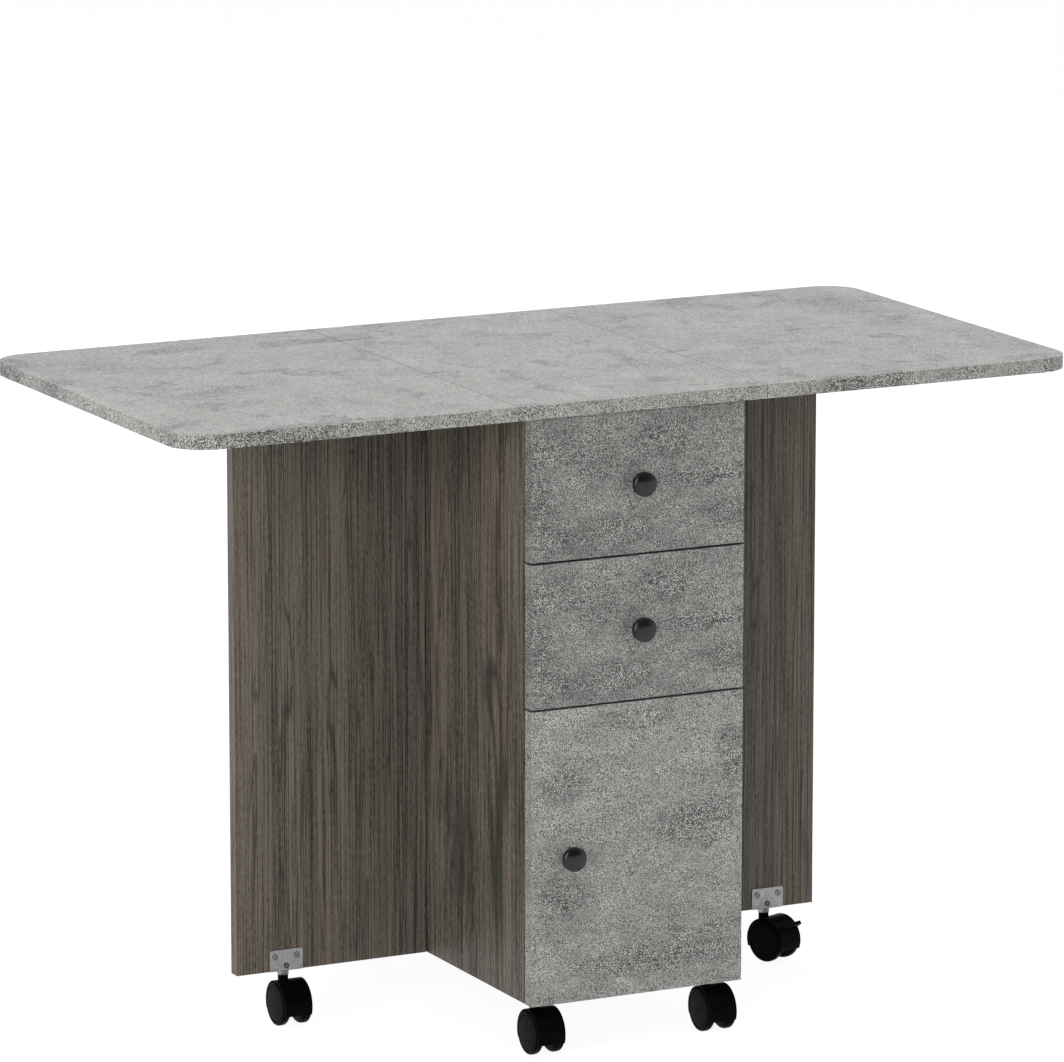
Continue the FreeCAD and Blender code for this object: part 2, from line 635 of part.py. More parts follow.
def drawer(front):
    """The pieces of one drawer behind the front with these height limits."""
    foot = front[0] + DRAWER_BOX_RISE
    top = front[1] - DRAWER_BOX_DROP
    inner = DRAWER_OUTER - DRAWER_WALL
    bottom_z = (foot + DRAWER_BOTTOM_RISE, foot + DRAWER_BOTTOM_RISE + DRAWER_BOTTOM)
    half_bottom = inner + DRAWER_GROOVE
    bottom = box((-half_bottom, half_bottom), (FRONT_INNER_Y - DRAWER_GROOVE, DRAWER_REAR), bottom_z)
    knob_pieces, knob_bore = knob(0, (front[0] + front[1]) / 2)
    side = box((inner, DRAWER_OUTER), (FRONT_INNER_Y, DRAWER_REAR), (foot, top)).cut(bottom)
    back = box((-inner, inner), (DRAWER_REAR - DRAWER_WALL, DRAWER_REAR), (bottom_z[1], top))
    runner = right_drawer_runner(front)
    return {
        "front": [front_board((-HALF_WIDTH, HALF_WIDTH), front, [bottom, knob_bore])],
        "right_side": [side],
        "left_side": mirrored([side]),
        "back": [back],
        "bottom": [bottom],
        "runners": runner + mirrored(runner),
        "knob": knob_pieces,
    }


# Door on concealed hinges. In the hinge's own frame X runs from the door's hinge edge
# towards its middle, Y from the carcass to the front, and Z is measured from the hinge's middle.
CUP_CENTRE = CUP_EDGE + CUP_RADIUS
CUP_DEPTH = BOARD - CUP_COVER
CUP_FLOOR = FRONT_GAP + CUP_DEPTH - CUP_WALL
CUP_PIN_Y = CUP_FLOOR - CUP_GAP - CUP_KNUCKLE_RADIUS


def hinge_cup():
    """The cup with its flange, lugs and pin, its screws, and the bores in the door."""
    mouth = Vector(CUP_CENTRE, FRONT_GAP, 0)
    pocket = rod(mouth, BACK, CUP_RADIUS, CUP_DEPTH)
    hollow = rod(mouth - BACK * CUP_FLANGE, BACK, CUP_RADIUS - CUP_WALL, CUP_FLANGE + CUP_DEPTH - CUP_WALL)
    half_flange = CUP_FLANGE_LENGTH / 2
    flange = box(
        (CUP_CENTRE - CUP_FLANGE_WIDTH / 2, CUP_CENTRE + CUP_FLANGE_WIDTH / 2),
        (FRONT_GAP - CUP_FLANGE, FRONT_GAP),
        (-half_flange, half_flange),
    )
    cup = pocket.fuse(flange).cut(hollow)
    lug_start = ARM_HEIGHT / 2 + CUP_GAP
    pin_reach = lug_start + CUP_LUG_WIDTH
    pin_line = Vector(CUP_PIN_EDGE, CUP_PIN_Y, -pin_reach)
    pin = rod(pin_line, UP, CUP_PIN_RADIUS, 2 * pin_reach)
    lug_x = (CUP_EDGE, CUP_PIN_EDGE + CUP_KNUCKLE_RADIUS)
    lug_y = (CUP_PIN_Y - CUP_KNUCKLE_RADIUS, CUP_FLOOR)
    for z in ((lug_start, pin_reach), (-pin_reach, -lug_start)):
        cup = cup.fuse(box(lug_x, lug_y, z).common(hollow))
    cup = cup.cut(pin)
    screws = []
    bores = [pocket, pin]
    for z in (-CUP_SCREW_SPACING / 2, CUP_SCREW_SPACING / 2):
        seat = Vector(CUP_CENTRE, FRONT_GAP - CUP_FLANGE, z)
        screws.append(placed(screw(HINGE_SCREW_HEAD_RADIUS, SCREW_DEPTH), seat, RIGHT, UP))
        bores.append(placed(screw_bore(SCREW_DEPTH), seat, RIGHT, UP))
    return [cut(cup, bores[2:]).removeSplitter(), pin] + screws, bores


def hinge_arm():
    """The arm that reaches into the cup, its plate on the side panel, and the plate's screws."""
    half = ARM_HEIGHT / 2
    z = (-half, half)
    side_face = BOARD
    arm_x = (side_face + ARM_PLATE_THICKNESS, side_face + ARM_STANDOFF + ARM_STEEL)
    neck_x = (arm_x[1] - ARM_STEEL, arm_x[1])
    bar_y = (CUP_PIN_Y - ARM_STEEL / 2, CUP_PIN_Y + ARM_STEEL / 2)
    knuckle = rod(Vector(CUP_PIN_EDGE, CUP_PIN_Y, -half), UP, CUP_KNUCKLE_RADIUS, ARM_HEIGHT)
    arm = box(arm_x, (-ARM_LENGTH, -FRONT_GAP), z)
    arm = arm.fuse(box(neck_x, (-FRONT_GAP, bar_y[1]), z))
    arm = arm.fuse(box((CUP_PIN_EDGE, neck_x[1]), bar_y, z))
    arm = arm.fuse(knuckle)
    pin_hole = rod(Vector(CUP_PIN_EDGE, CUP_PIN_Y, -half), UP, CUP_PIN_RADIUS + CUP_PIN_PLAY, ARM_HEIGHT)
    arm = arm.cut(pin_hole).removeSplitter()
    half_plate = ARM_PLATE_HEIGHT / 2
    plate_y = (-ARM_LENGTH, ARM_PLATE_LENGTH - ARM_LENGTH)
    plate = box((side_face, side_face + ARM_PLATE_THICKNESS), plate_y, (-half_plate, half_plate))
    screws = []
    bores = []
    depth = ARM_PLATE_THICKNESS + SCREW_DEPTH
    for screw_z in (-ARM_SCREW_SPACING / 2, ARM_SCREW_SPACING / 2):
        seat = Vector(side_face + ARM_PLATE_THICKNESS, sum(plate_y) / 2, screw_z)
        screws.append(placed(screw(HINGE_SCREW_HEAD_RADIUS, depth), seat, BACK, UP))
        bores.append(placed(screw_bore(depth), seat, BACK, UP))
    return [arm, cut(plate, bores)] + screws, bores


def door_hinge_places():
    heights = (CABINET_BASE + DOOR_HINGE_INSET, DOOR_TOP - DOOR_HINGE_INSET)
    return [Vector(HALF_WIDTH, CARCASS_FRONT, z) for z in heights]


def at_door_hinges(shapes):
    return [placed(shape, place, -RIGHT, -BACK) for place in door_hinge_places() for shape in shapes]


# Casters. The stem is on the Z axis, the wheels trail towards -Y and the axle runs along X.
def across_axle(half_width, radius):
    """A disc of this radius on the axle, as wide as twice half_width."""
    return rod(Vector(-half_width, AXLE_Y, WHEEL_RADIUS), RIGHT, radius, 2 * half_width)


def caster_wheel():
    """The wheel on the +X side: a capped twin wheel with a grooved cap and rounded tread edges."""
    inner = WHEEL_GAP / 2
    outer = CASTER_HALF - WHEEL_CAP_CROWN
    bore = AXLE_RADIUS + AXLE_PLAY
    bore_end = outer - WHEEL_CAP_WALL
    groove_outer = WHEEL_CAP_RADIUS + WHEEL_GROOVE_WIDTH
    profile = [
        (bore, inner),
        (WHEEL_RADIUS, inner),
        (WHEEL_RADIUS, outer),
        (groove_outer, outer),
        (groove_outer, outer - WHEEL_GROOVE_DEPTH),
        (WHEEL_CAP_RADIUS, outer - WHEEL_GROOVE_DEPTH),
        (WHEEL_CAP_RADIUS, outer),
        (0, outer),
        (0, bore_end),
        (bore, bore_end),
    ]
    rounds = [
        (WHEEL_RADIUS, inner, WHEEL_INNER_ROUND),
        (WHEEL_RADIUS, outer, WHEEL_OUTER_ROUND),
    ]
    wheel = turned(profile, rounds).fuse(lens(WHEEL_CAP_RADIUS, WHEEL_CAP_CROWN, outer))
    return placed(wheel.removeSplitter(), Vector(0, AXLE_Y, WHEEL_RADIUS), BACK, UP)


def caster_frame():
    """Hood with its web and neck, the stem and the axle."""
    hood_half = CASTER_HALF - HOOD_SIDE_RECESS
    shell = across_axle(hood_half, HOOD_OUTER)
    neck = rod(Vector(0, 0, WHEEL_RADIUS), UP, NECK_RADIUS, NECK_TOP - WHEEL_RADIUS)
    hood = shell.fuse(neck).cut(across_axle(CASTER_HALF, HOOD_INNER))
    web = across_axle(HOOD_WEB / 2, HOOD_OUTER - HOOD_WALL / 2)
    below = box(
        (-CASTER_WIDTH, CASTER_WIDTH),
        (AXLE_Y - 2 * HOOD_OUTER, AXLE_Y + 2 * HOOD_OUTER),
        (-HOOD_OUTER, WHEEL_RADIUS - HOOD_SKIRT),
    )
    hub = across_axle(HOOD_WEB / 2, HOOD_HUB_RADIUS)
    axle_half = CASTER_HALF - WHEEL_CAP_CROWN - WHEEL_CAP_WALL - AXLE_END_GAP
    axle = across_axle(axle_half, AXLE_RADIUS)
    stem_low = WHEEL_RADIUS + HOOD_OUTER - STEM_SEAT
    stem_top = CABINET_BASE + SOCKET_DEPTH - STEM_TOP_GAP
    stem = rod(Vector(0, 0, stem_low), UP, STEM_RADIUS, stem_top - stem_low)
    hood = hood.fuse(web).cut(below).fuse(hub).cut([axle, stem])
    return hood.removeSplitter(), stem, axle


def lever_way():
    """Direction from the axle through the lever's pivot."""
    angle = math.radians(LEVER_ANGLE)
    return Vector(0, -math.cos(angle), math.sin(angle))


def lever_pivot():
    return Vector(0, AXLE_Y, WHEEL_RADIUS) + lever_way() * LEVER_PIVOT_RADIUS


def brake_frame(shape):
    """Places a lever piece, built with its pivot at the origin and pointing to -Y, on the hood."""
    return placed(shape, lever_pivot(), RIGHT, -lever_way())


def brake_lever():
    """The pedal with its pin, and the slot and pin hole that the hood needs for it."""
    half_arm = LEVER_ARM_WIDTH / 2
    half_thick = LEVER_THICKNESS / 2
    tab_start = HOOD_OUTER - LEVER_PIVOT_RADIUS + LEVER_HOOD_GAP
    tab_end = tab_start + LEVER_TAB_LENGTH
    arm = box((-half_arm, half_arm), (-tab_start, LEVER_TAIL), (-half_thick, half_thick))
    half_tab = LEVER_TAB_WIDTH / 2
    tab = box((-half_tab, half_tab), (-tab_end, -tab_start), (-half_thick, half_thick))
    tab = tab.makeFillet(LEVER_ROUND, edges_on_plane(tab, 1, -tab_end))
    pin_start = Vector(-HOOD_WEB / 2, 0, 0)
    pin = rod(pin_start, RIGHT, LEVER_PIN_RADIUS, HOOD_WEB)
    lever = arm.fuse(tab).fuse(pin).removeSplitter()
    lift = tab_start * math.sin(math.radians(LEVER_LIFT))
    half_slot = half_arm + LEVER_GAP
    slot = box(
        (-half_slot, half_slot),
        (-tab_end, LEVER_TAIL + 2 * LEVER_GAP),
        (-half_thick - 2 * LEVER_GAP, half_thick + lift + LEVER_GAP),
    )
    tail_swing = box(
        (-half_slot, half_slot),
        (0, LEVER_TAIL + 2 * LEVER_GAP),
        (-half_thick - 2 * LEVER_GAP - lift, half_thick),
    )
    pin_hole = rod(pin_start, RIGHT, LEVER_PIN_RADIUS + LEVER_PIN_PLAY, HOOD_WEB)
    return brake_frame(lever), [brake_frame(piece) for piece in (slot, tail_swing, pin_hole)]


def caster_places():
    """Stem place and turn about it of every caster, by name."""
    places = {}
    for word, side in (("left", -1), ("right", 1)):
        places["front_" + word] = (side * CABINET_CASTER_X, FRONT_CASTER_Y, 0)
        places["rear_" + word] = (side * CABINET_CASTER_X, REAR_CASTER_Y, REAR_CASTER_TURN)
        turn = BRAKED_CASTER_TURN if word + "_gate" == BRAKED_CASTER else 0
        places[word + "_gate"] = (side * GATE_CASTER_X, GATE_MIDDLE_Y, turn)
    return places


def turned_ways(turn):
    """The X and Y directions of a caster that is turned about its stem by this many degrees."""
    angle = math.radians(turn)
    return Vector(math.cos(angle), math.sin(angle), 0), Vector(-math.sin(angle), math.cos(angle), 0)


def casters():
    """All caster nodes: six frames, six pairs of wheels and the brake lever."""
    made = {}
    wheel = caster_wheel()
    hood, stem, axle = caster_frame()
    lever, lever_cuts = brake_lever()
    for name, (x, y, turn) in caster_places().items():
        ways = turned_ways(turn)
        place = Vector(x, y, 0)
        own_hood = hood
        if name == BRAKED_CASTER:
            own_hood = hood.cut(lever_cuts).removeSplitter()
            made[name + "_brake_lever"] = [placed(lever, place, *ways)]
        frame = [own_hood, stem, axle]
        made[name + "_caster_frame"] = [placed(piece, place, *ways) for piece in frame]
        pair = [wheel] + mirrored([wheel])
        made[name + "_caster_wheels"] = [placed(piece, place, *ways) for piece in pair]
    return made


# Assembly
def build():
    """Every node of the table, by name."""
    nodes = {}
    sides = (("left", -1), ("right", 1))

    top_fixed, top_moving, top_pins = top_hinges()
    gate_fixed, gate_moving, gate_pins = gate_hinges()
    both_top_bores = top_fixed["bores"] + mirrored(top_fixed["bores"])
    nodes["centre_top"] = [centre_top(both_top_bores)]
    nodes["leaf_hinge_fixed_leaves"] = top_fixed["solids"] + mirrored(top_fixed["solids"])
    nodes["leaf_hinge_pins"] = top_pins + mirrored(top_pins)
    nodes["gate_hinge_fixed_leaves"] = gate_fixed["solids"] + mirrored(gate_fixed["solids"])
    nodes["gate_hinge_pins"] = gate_pins + mirrored(gate_pins)

    bracket, bracket_screws, gate_bores = right_caster_bracket()
    leaf = right_leaf(top_moving["bores"])
    gate = right_gate(gate_moving["bores"] + gate_bores)
    for word, side in sides:
        nodes[word + "_leaf"] = on_side(side, [leaf])
        nodes[word + "_leaf_hinge_leaves"] = on_side(side, top_moving["solids"])
        nodes[word + "_gate"] = on_side(side, [gate])
        nodes[word + "_gate_hinge_leaves"] = on_side(side, gate_moving["solids"])
        nodes[word + "_gate_pad"] = on_side(side, [right_gate_pad()])
        nodes[word + "_gate_caster_bracket"] = on_side(side, bracket)
        nodes[word + "_gate_bracket_screws"] = on_side(side, bracket_screws)

    arm_solids, arm_bores = hinge_arm()
    cup_solids, cup_bores = hinge_cup()
    right_dowels = dowels()
    all_dowels = right_dowels + mirrored(right_dowels)
    side_bores = gate_fixed["bores"] + right_dowels
    nodes["right_side_panel"] = [right_side_panel(side_bores + at_door_hinges(arm_bores))]
    nodes["left_side_panel"] = mirrored([right_side_panel(side_bores)])
    nodes["dowels"] = all_dowels

    sockets = []
    socket_bores = []
    for x in (-CABINET_CASTER_X, CABINET_CASTER_X):
        for y in (FRONT_CASTER_Y, REAR_CASTER_Y):
            socket, bore = caster_socket(x, y)
            sockets.append(socket)
            socket_bores.append(bore)
    nodes["caster_sockets"] = sockets
    nodes.update(inner_boards(all_dowels + socket_bores))

    runners = right_cabinet_runner(LOWER_FRONT) + right_cabinet_runner(UPPER_FRONT)
    nodes["cabinet_runners"] = runners + mirrored(runners)
    for word, front in (("lower", LOWER_FRONT), ("upper", UPPER_FRONT)):
        for piece, solids in drawer(front).items():
            nodes[word + "_drawer_" + piece] = solids

    door_knob, door_knob_bore = knob(DOOR_KNOB_INSET - HALF_WIDTH, (CABINET_BASE + DOOR_TOP) / 2)
    door_bores = at_door_hinges(cup_bores) + [door_knob_bore]
    nodes["door_panel"] = [front_board((-HALF_WIDTH, HALF_WIDTH), (CABINET_BASE, DOOR_TOP), door_bores)]
    nodes["door_knob"] = door_knob
    nodes["door_hinge_cups"] = at_door_hinges(cup_solids)
    nodes["door_hinge_arms"] = at_door_hinges(arm_solids)

    nodes.update(casters())
    return nodes


def joint_axes():
    """A point and a direction of the axis of everything that turns, by name.

    Casters swivel in the sense that first brings their wheels towards the table's middle.
    """
    middle = (CABINET_BASE + GATE_TOP) / 2
    door_middle = (CABINET_BASE + DOOR_TOP) / 2
    axes = {
        "left_gate_swing": (Vector(-GATE_PIN_X, GATE_PIN_Y, middle), UP),
        "right_gate_swing": (Vector(GATE_PIN_X, GATE_PIN_Y, middle), -UP),
        "left_leaf_lift": (Vector(-HALF_CENTRE, 0, LEAF_PIN_Z), BACK),
        "right_leaf_lift": (Vector(HALF_CENTRE, 0, LEAF_PIN_Z), -BACK),
        "door_swing": (Vector(HALF_WIDTH - CUP_PIN_EDGE, CARCASS_FRONT - CUP_PIN_Y, door_middle), UP),
    }
    for name, (x, y, turn) in caster_places().items():
        along, back = turned_ways(turn)
        stem = Vector(x, y, CABINET_BASE)
        axle = Vector(x, y, WHEEL_RADIUS) + back * AXLE_Y
        quarter_turn = UP.cross(-back)
        axes[name + "_caster_swivel"] = (stem, UP if quarter_turn.x * x < 0 else -UP)
        axes[name + "_wheel_roll"] = (axle, along)
        if name == BRAKED_CASTER:
            pivot = lever_pivot()
            axes["brake_lever_lift"] = (Vector(x, y, pivot.z) + back * pivot.y, -along)
    return axes


def main():
    os.makedirs("parts", exist_ok=True)
    nodes = build()
    for name, solids in nodes.items():
        Part.makeCompound(solids).exportStep("parts/" + name + ".step")
    print("nodes:", len(nodes))
    for name, (point, way) in joint_axes().items():
        print("%-28s at %9.4f %9.4f %9.4f along %8.5f %8.5f %8.5f" % (name, *point, *way))


main()
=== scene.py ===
import math
from typing import NamedTuple

import bpy
from mathutils import Euler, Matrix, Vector

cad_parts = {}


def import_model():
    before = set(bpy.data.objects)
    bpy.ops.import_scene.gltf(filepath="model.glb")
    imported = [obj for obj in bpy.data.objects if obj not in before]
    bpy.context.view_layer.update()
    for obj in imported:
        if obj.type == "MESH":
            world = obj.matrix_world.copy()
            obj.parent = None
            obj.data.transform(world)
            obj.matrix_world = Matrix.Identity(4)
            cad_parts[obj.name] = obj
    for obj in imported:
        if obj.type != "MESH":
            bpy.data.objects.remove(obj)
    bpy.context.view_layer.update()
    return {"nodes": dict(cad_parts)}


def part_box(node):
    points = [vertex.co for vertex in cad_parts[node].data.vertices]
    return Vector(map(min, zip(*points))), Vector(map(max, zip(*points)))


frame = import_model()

# Folding dining table: materials, floor, light and camera. Metres. X runs along the front to the
# right, Y to the back and Z up.

scene = bpy.context.scene
nodes = frame["nodes"]

# Camera, as in the photograph. Angles are in degrees, lens and sensor in millimetres.
CAMERA_PLACE = (-3.536, -7.060, 2.1695)
CAMERA_YAW = 26.60
CAMERA_PITCH = 11.618
CAMERA_LENS = 237.4
SENSOR_WIDTH = 36.0

# Floor and light. What is mirrored is white behind the table and dimmer on the camera's side.
FLOOR_HALF = 60.0
FLOOR_SHADE = (0.80, 0.80, 0.80, 1)
FLOOR_GLOW = 1.15
FLOOR_GLOW_SHARE = 0.80
SKY_LEVEL = 0.42
CAMERA_SIDE_LEVEL = 0.08
MIRRORED_FADE = (-0.6, 0.1)
LIGHT_TARGET = (0.0, 0.0, 0.35)
KEY = {"place": (-4.0, -5.4, 1.9), "size": 5.0, "power": 215.0}
FILL = {"place": (3.8, -5.6, 2.0), "size": 4.5, "power": 133.0}
SIDE = {"place": (-5.4, -2.4, 1.7), "size": 2.2, "power": 158.0}
OVERHEAD = {"place": (0.0, -0.4, 3.6), "size": 3.0, "power": 35.0}
REAR = {"place": (1.6, 5.6, 1.7), "size": 4.5, "power": 150.0}
CARD = {"place": (-4.2, -1.7, 2.1), "size": 4.2, "power": 330.0}

WHITE = (1, 1, 1, 1)
MIDDLE_TONE = 0.5

# Sockets of a Mix node that it uses for colours: the share, the first and second colour, the result
MIX_INPUTS = (0, 6, 7)
MIX_OUTPUT = 2


class Noise(NamedTuple):
    """A noise texture, and how its values from low to high are mapped where it is a layer."""

    scale: float
    detail: float = 2.0
    rough: float = 0.5
    twist: float = 0.0
    low: float = 0.3
    high: float = 0.7
    to_low: float = -1.0
    to_high: float = 1.0


class Nodes:
    """A node tree. Most methods add a node or two and return the output socket."""

    def __init__(self, tree):
        self.tree = tree

    def add(self, kind, inputs, **settings):
        """Adds a node and returns the node itself."""
        made = self.tree.nodes.new("ShaderNode" + kind)
        for name, value in settings.items():
            setattr(made, name, value)
        for name, value in inputs.items():
            self.feed(made.inputs[name], value)
        return made

    def feed(self, socket, value):
        if isinstance(value, bpy.types.NodeSocket):
            self.tree.links.new(value, socket)
        else:
            socket.default_value = value

    def vector(self, operation, first, second):
        made = self.add("VectorMath", {0: first, 1: second}, operation=operation)
        return made.outputs["Vector"]

    def length(self, vector):
        return self.add("VectorMath", {0: vector}, operation="LENGTH").outputs["Value"]

    def math(self, operation, first, second=0.0):
        made = self.add("Math", {0: first, 1: second}, operation=operation)
        return made.outputs["Value"]

    def total(self, *values):
        """The sum of several values."""
        result = values[0]
        for value in values[1:]:
            result = self.math("ADD", result, value)
        return result

    def times(self, value, factor):
        return self.math("MULTIPLY", value, factor)

    def span(self, value, low, high, to_low=0.0, to_high=1.0, soft=False):
        """Maps the range from low to high onto another range, and holds its ends."""
        inputs = {"Value": value, "From Min": low, "From Max": high, "To Min": to_low, "To Max": to_high}
        kind = "SMOOTHSTEP" if soft else "LINEAR"
        return self.add("MapRange", inputs, interpolation_type=kind, clamp=True).outputs["Result"]

    def seen_or_mirrored(self, path):
        """1 for rays from the camera, off gloss or through glass, by a Light Path node's outputs."""
        mirrored = self.math("MAXIMUM", path["Is Glossy Ray"], path["Is Transmission Ray"])
        return self.math("MAXIMUM", path["Is Camera Ray"], mirrored)


class Paint(Nodes):
    """One material."""

    def __init__(self, name):
        self.material = bpy.data.materials.new(name)
        self.material.use_nodes = True
        super().__init__(self.material.node_tree)
        self.shader = self.tree.nodes["Principled BSDF"]

    def surface(self, **values):
        """Feeds the shader's sockets, named with underscores in place of spaces."""
        for name, value in values.items():
            self.feed(self.shader.inputs[name.replace("_", " ")], value)

    def place(self, stretch=(1, 1, 1), shift=(0, 0, 0)):
        """The piece's own coordinates in metres, shifted and then stretched."""
        own = self.add("TexCoord", {}).outputs["Object"]
        moved = self.vector("ADD", own, shift)
        return self.vector("MULTIPLY", moved, stretch)

    def texture(self, place, noise):
        """A noise texture's outputs."""
        inputs = {
            "Vector": place,
            "Scale": noise.scale,
            "Detail": noise.detail,
            "Roughness": noise.rough,
            "Distortion": noise.twist,
        }
        return self.add("TexNoise", inputs).outputs

    def noise(self, place, noise):
        """Plain noise, which lies around 0.5."""
        return self.texture(place, noise)["Fac"]

    def noise_way(self, place, noise):
        """A noise direction with parts between -0.5 and 0.5."""
        return self.vector("SUBTRACT", self.texture(place, noise)["Color"], (0.5, 0.5, 0.5))

    def mapped(self, value, noise, soft=False):
        """Plain noise, mapped as its Noise says."""
        return self.span(value, noise.low, noise.high, noise.to_low, noise.to_high, soft)

    def layer(self, place, noise, soft=False):
        """Noise that is mapped straight away."""
        return self.mapped(self.noise(place, noise), noise, soft)

    def ramp(self, value, stops):
        """A colour ramp with (position, (red, green, blue)) stops."""
        made = self.add("ValToRGB", {"Fac": value})
        elements = made.color_ramp.elements
        while len(elements) < len(stops):
            elements.new(0.5)
        for element, (position, colour) in zip(elements, stops):
            element.position = position
            element.color = (*colour, 1)
        return made.outputs["Color"]

    def mix(self, share, first, second):
        """The first colour, with this share of the second."""
        made = self.add("Mix", {}, data_type="RGBA")
        for socket, value in zip(MIX_INPUTS, (share, first, second)):
            self.feed(made.inputs[socket], value)
        return made.outputs[MIX_OUTPUT]

    def bump(self, height, strength, distance):
        inputs = {"Height": height, "Strength": strength, "Distance": distance}
        return self.add("Bump", inputs).outputs["Normal"]


def dress(paint, *names):
    """Gives this material to CAD nodes."""
    for name in names:
        slots = nodes[name].data.materials
        slots.clear()
        slots.append(paint.material)


# Concrete-look laminate. Its tone runs from 0 to TONE_REACH, and a stop is (tone, grey level).
CONCRETE_STOPS = ((0.0, 0.024), (0.25, 0.076), (0.5, 0.175), (0.75, 0.270), (1.0, 0.375), (1.5, 0.60))
TONE_REACH = 1.5
CONCRETE_TONE = 0.53
CONCRETE_TINT = (0.985, 1.0, 0.945)
CONCRETE_ROUGH_TONES = (0.2, 0.9)
CONCRETE_ROUGH_SPREAD = 0.05
CONCRETE_BUMP = {"strength": 0.12, "distance": 0.0003}
GRAIN_RELIEF = 0.6
CLUSTER_RELIEF = 0.4

# A face starts to count as level, and then does so fully, at these upright parts of its normal
LEVEL_FACE = (0.6, 0.8)

# Noises of the concrete print, most of them drawn out level
FLAT_STRETCH = (1.0, 1.0, 1.9)
STREAK_STRETCH = (0.16, 0.5, 3.2)
GRAIN = Noise(540.0, 2.0, 0.8, low=0.36, high=0.56, to_low=-1.4, to_high=0.55)
DUST = Noise(1000.0, 1.0, 0.6, low=0.39, high=0.61)
MOTTLE = Noise(230.0, 4.0, 0.8, low=0.37, high=0.63)
SPECKS = Noise(200.0, 5.0, 0.75, low=0.49, high=0.60, to_low=0.0)
STREAKS = Noise(110.0, 4.0, 0.65, 0.3)
CLUSTERS = Noise(90.0, 5.0, 0.75)
BREAKS = Noise(60.0, 5.0, 0.7, low=0.38, high=0.58, to_low=0.3)
QUIET = Noise(34.0, 4.0, 0.65, low=0.36, high=0.62, to_low=0.30, to_high=0.85)
WANDER = Noise(24.0, 5.0)
BLOTCHES = Noise(17.0, 5.0, 0.62, 0.6, low=0.52, high=0.70, to_low=0.0)
CLOUDS = Noise(14.0, 6.0, 0.7, 0.4)

# What each of them adds to the tone. A pair is for clean and for fully dark places.
GRAIN_WEIGHT = 0.55
DUST_WEIGHT = 0.80
CLOUD_WEIGHT = 0.12
DARK_WEIGHT = -0.32
SPECK_WEIGHT = -0.75
# Painted light from smudges of negative strength
PAINTED_LIGHT_WEIGHT = 0.16
CLUSTER_WEIGHTS = (0.05, 0.20)
STREAK_WEIGHTS = (0.03, 0.30)

# Smudges fade between these shares of their half sizes. Speckle grows with their darkness, and is
# LOUDEST from LOUD_DARKNESS on.
SMUDGE_FADE = (0.2, 1.2)
LOUD_DARKNESS = 0.6
LOUDEST = 1.3


def grey(level):
    """A concrete grey, very slightly green."""
    return [level * share for share in CONCRETE_TINT]


def concrete(name, shift, smudges, wander_reach, lift, wild, rough, gloss, painted_level_light, face_grain):
    """Concrete print with smudges: (middle, half sizes, strength); a negative strength paints light.

    lift makes all of it lighter, and wild is the strength of stains at random places. Level faces
    get painted light by painted_level_light, painted shade where it is negative, and are mottled by
    face_grain.
    """
    paint = Paint(name)
    normal = paint.add("SeparateXYZ", {0: paint.add("TexCoord", {}).outputs["Normal"]})
    level = paint.span(paint.math("ABSOLUTE", normal.outputs["Z"]), *LEVEL_FACE)
    here = paint.place(shift=shift)
    flat = paint.place(FLAT_STRETCH, shift)
    grain = paint.layer(here, GRAIN)
    clusters = paint.layer(flat, CLUSTERS)
    streaks = paint.layer(paint.place(STREAK_STRETCH, shift), STREAKS)

    wander = paint.vector("MULTIPLY", paint.noise_way(here, WANDER), wander_reach)
    loose = paint.vector("ADD", here, wander)
    stain = paint.times(paint.layer(flat, BLOTCHES, soft=True), wild)
    for middle, half_sizes, strength in smudges:
        off = paint.vector("DIVIDE", paint.vector("SUBTRACT", loose, middle), half_sizes)
        smudge = paint.span(paint.length(off), *SMUDGE_FADE, strength, 0.0, soft=True)
        stain = paint.total(stain, smudge)
    dark = paint.times(paint.span(stain, 0.0, 1.0), paint.layer(flat, BREAKS))
    # Smudges of negative strength give painted light
    painted_light = paint.span(stain, 0.0, -1.0)

    loud = paint.span(dark, 0.0, LOUD_DARKNESS, 0.0, LOUDEST)
    dust = paint.layer(here, DUST)
    speckle = paint.total(paint.times(grain, GRAIN_WEIGHT), paint.times(dust, DUST_WEIGHT))
    pattern = paint.total(
        paint.times(speckle, paint.math("MAXIMUM", paint.layer(flat, QUIET), loud)),
        paint.times(paint.times(paint.layer(here, MOTTLE), level), face_grain),
        paint.times(paint.layer(flat, CLOUDS), CLOUD_WEIGHT),
        paint.times(dark, DARK_WEIGHT),
        paint.times(paint.times(dark, paint.layer(flat, SPECKS)), SPECK_WEIGHT),
        paint.times(painted_light, PAINTED_LIGHT_WEIGHT),
        paint.times(clusters, paint.span(dark, 0.0, 1.0, *CLUSTER_WEIGHTS)),
        paint.times(streaks, paint.span(dark, 0.0, 1.0, *STREAK_WEIGHTS)),
    )
    # Painted light on level faces, which is painted shade where the value is negative
    tone = paint.total(pattern, paint.times(level, painted_level_light), CONCRETE_TONE + lift)
    stops = [(position / TONE_REACH, grey(shade)) for position, shade in CONCRETE_STOPS]
    rough_ends = (rough + CONCRETE_ROUGH_SPREAD, rough - CONCRETE_ROUGH_SPREAD)
    relief = paint.total(paint.times(grain, GRAIN_RELIEF), paint.times(clusters, CLUSTER_RELIEF))
    paint.surface(
        Base_Color=paint.ramp(paint.math("DIVIDE", tone, TONE_REACH), stops),
        Roughness=paint.span(tone, *CONCRETE_ROUGH_TONES, *rough_ends),
        Specular_IOR_Level=gloss,
        Normal=paint.bump(relief, **CONCRETE_BUMP),
    )
    return paint


